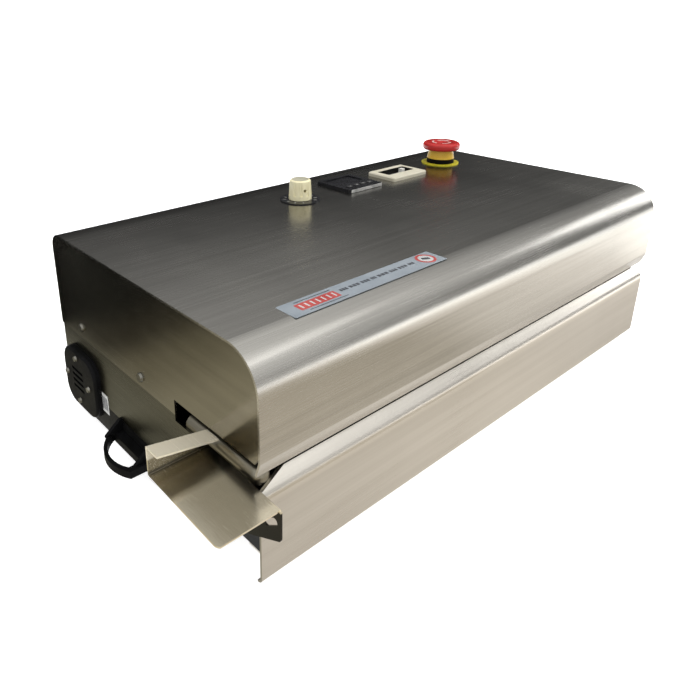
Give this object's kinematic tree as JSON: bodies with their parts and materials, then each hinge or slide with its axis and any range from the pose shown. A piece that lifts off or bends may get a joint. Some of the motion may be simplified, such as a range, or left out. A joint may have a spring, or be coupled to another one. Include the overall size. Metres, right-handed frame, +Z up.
{
  "type": "band sealer",
  "caption": "Table-top continuous pouch sealer with a folded steel hood, a through slot along the front, an infeed tray, a speed knob, a controller and a stop button.",
  "frame": {"origin": "centre of the bounding box's footprint, at the height the feet stand on", "axes": "+Z up, +X along the slot from the infeed tray to the outfeed end, +Y from the slot side to the rear"},
  "size_m": [0.5318, 0.2848, 0.1845],
  "materials": {
    "steel": "brushed, satin",
    "screw_steel": "bright",
    "shaft_steel": "ground",
    "spring_steel": "bright",
    "black_paint": "satin",
    "motor_paint": "satin",
    "black_plastic": "matte",
    "black_gloss": "satin",
    "key_grey": "matte",
    "cream_plastic": "satin",
    "white_plastic": "satin",
    "red_plastic": "glossy",
    "yellow_plastic": "glossy",
    "rubber_foot": "matte",
    "silicone": "matte",
    "aluminium": "milled",
    "brass": "machined",
    "shaft_plain": "ground",
    "ptfe_band": "satin",
    "circuit_board": "satin"
  },
  "bodies": {
    "housing": {"band_lower": "ptfe_band", "band_upper": "ptfe_band", "base_pan": "black_paint", "carrier_guides": "shaft_steel", "control_board": "circuit_board", "controller": "black_gloss", "cooling_bars": "aluminium", "drive_bushes": "brass", "entry_bar": "steel", "fan_cover": "black_plastic", "fan_frame": "black_plastic", "feet": "rubber_foot", "finger_loop": "black_plastic", "fixed_pins": "shaft_steel", "gearmotor": "motor_paint", "heater_bar_lower": "brass", "heater_spring": "spring_steel", "hood": "steel", "hood_end_left": "steel", "hood_end_right": "steel", "joining_strips": "steel", "lower_cover": "steel", "lower_end_left": "steel", "lower_end_right": "steel", "motor_bracket": "aluminium", "mount_plate": "aluminium", "panel_screws": "screw_steel", "power_inlet": "black_plastic", "rear_panel": "steel", "roller_spring": "spring_steel", "selector_body": "black_plastic", "selector_frame": "cream_plastic", "speed_dial": "black_gloss", "speed_pot": "black_plastic", "stop_collar": "black_plastic", "stop_cone": "yellow_plastic", "stop_contacts": "black_plastic", "stop_ring": "yellow_plastic"},
    "tray": {"infeed_tray": "steel"},
    "drive_lower": {"drive_roller_lower": "shaft_steel", "drive_gear_lower": "shaft_steel"},
    "drive_upper": {"drive_roller_upper": "shaft_steel", "drive_gear_upper": "brass"},
    "idler_lower": {"idler_pulley_lower": "aluminium"},
    "idler_upper": {"idler_pulley_upper": "aluminium"},
    "press_lower": {"press_roller_lower": "silicone"},
    "press_float": {"roller_carrier": "shaft_steel"},
    "press_upper": {"press_roller_upper": "silicone"},
    "heater_float": {"heater_carrier": "shaft_steel", "heater_bar_upper": "brass"},
    "speed_control": {"speed_knob": "cream_plastic", "speed_shaft": "shaft_plain"},
    "stop_plunger": {"stop_stem": "shaft_plain"},
    "stop_head": {"stop_cap": "red_plastic"},
    "selector": {"selector_slider": "white_plastic"},
    "fan": {"fan_rotor": "black_plastic"},
    "key_1": {"controller_key_1": "key_grey"},
    "key_2": {"controller_key_2": "key_grey"},
    "key_3": {"controller_key_3": "key_grey"},
    "key_4": {"controller_key_4": "key_grey"}
  },
  "joints": [
    {"name": "tray_adjust", "type": "slide", "parent": "housing", "child": "tray", "axis": [0, 1, 0], "range_m": [-0.004, 0.004]},
    {"name": "drive_spin_lower", "type": "hinge", "parent": "housing", "child": "drive_lower", "pos_m": [0.21545, -0.09615, 0.06675], "axis": [0, 1, 0], "continuous": true},
    {"name": "drive_spin_upper", "type": "hinge", "parent": "housing", "child": "drive_upper", "pos_m": [0.21545, -0.09615, 0.09825], "axis": [0, 1, 0], "continuous": true},
    {"name": "idler_spin_lower", "type": "hinge", "parent": "housing", "child": "idler_lower", "pos_m": [-0.16455, -0.09615, 0.06675], "axis": [0, 1, 0], "continuous": true},
    {"name": "idler_spin_upper", "type": "hinge", "parent": "housing", "child": "idler_upper", "pos_m": [-0.16455, -0.09615, 0.09825], "axis": [0, 1, 0], "continuous": true},
    {"name": "press_spin_lower", "type": "hinge", "parent": "housing", "child": "press_lower", "pos_m": [0.14545, -0.09615, 0.06875], "axis": [0, 1, 0], "continuous": true},
    {"name": "press_lift", "type": "slide", "parent": "housing", "child": "press_float", "axis": [0, 0, 1], "range_m": [0, 0.0015], "stiffness_N_per_m": 3000, "springref_m": -0.003, "deforming": ["roller_spring"]},
    {"name": "press_spin_upper", "type": "hinge", "parent": "press_float", "child": "press_upper", "pos_m": [0.14545, -0.09615, 0.09625], "axis": [0, 1, 0], "continuous": true},
    {"name": "heater_lift", "type": "slide", "parent": "housing", "child": "heater_float", "axis": [0, 0, 1], "range_m": [0, 0.0015], "stiffness_N_per_m": 3000, "springref_m": -0.003, "deforming": ["heater_spring"]},
    {"name": "speed_turn", "type": "hinge", "parent": "housing", "child": "speed_control", "pos_m": [-0.01595, 0.07585, 0.161], "axis": [0, 0, 1], "range_deg": [-150, 150]},
    {"name": "stop_push", "type": "slide", "parent": "housing", "child": "stop_plunger", "axis": [0, 0, -1], "range_m": [0, 0.004]},
    {"name": "stop_twist", "type": "hinge", "parent": "stop_plunger", "child": "stop_head", "pos_m": [0.20035, 0.08215, 0.161], "axis": [0, 0, 1], "range_deg": [-35, 0], "stiffness_Nm_per_rad": 0.05},
    {"name": "key_press_1", "type": "slide", "parent": "housing", "child": "key_1", "axis": [0, 0, -1], "range_m": [0, 0.0008], "stiffness_N_per_m": 800},
    {"name": "key_press_2", "type": "slide", "parent": "housing", "child": "key_2", "axis": [0, 0, -1], "range_m": [0, 0.0008], "stiffness_N_per_m": 800},
    {"name": "key_press_3", "type": "slide", "parent": "housing", "child": "key_3", "axis": [0, 0, -1], "range_m": [0, 0.0008], "stiffness_N_per_m": 800},
    {"name": "key_press_4", "type": "slide", "parent": "housing", "child": "key_4", "axis": [0, 0, -1], "range_m": [0, 0.0008], "stiffness_N_per_m": 800},
    {"name": "selector_move", "type": "slide", "parent": "housing", "child": "selector", "axis": [1, 0, 0], "range_m": [-0.018, 0.0055]},
    {"name": "fan_spin", "type": "hinge", "parent": "housing", "child": "fan", "pos_m": [-0.22455, 0.10885, 0.042], "axis": [1, 0, 0], "continuous": true}
  ],
  "couplings": [
    {"joint": "drive_spin_upper", "follows": "drive_spin_lower", "ratio": -1},
    {"joint": "idler_spin_lower", "follows": "drive_spin_lower", "ratio": 1},
    {"joint": "idler_spin_upper", "follows": "drive_spin_lower", "ratio": -1},
    {"joint": "press_spin_lower", "follows": "drive_spin_lower", "ratio": 1.1667},
    {"joint": "press_spin_upper", "follows": "drive_spin_lower", "ratio": -1.1667}
  ]
}
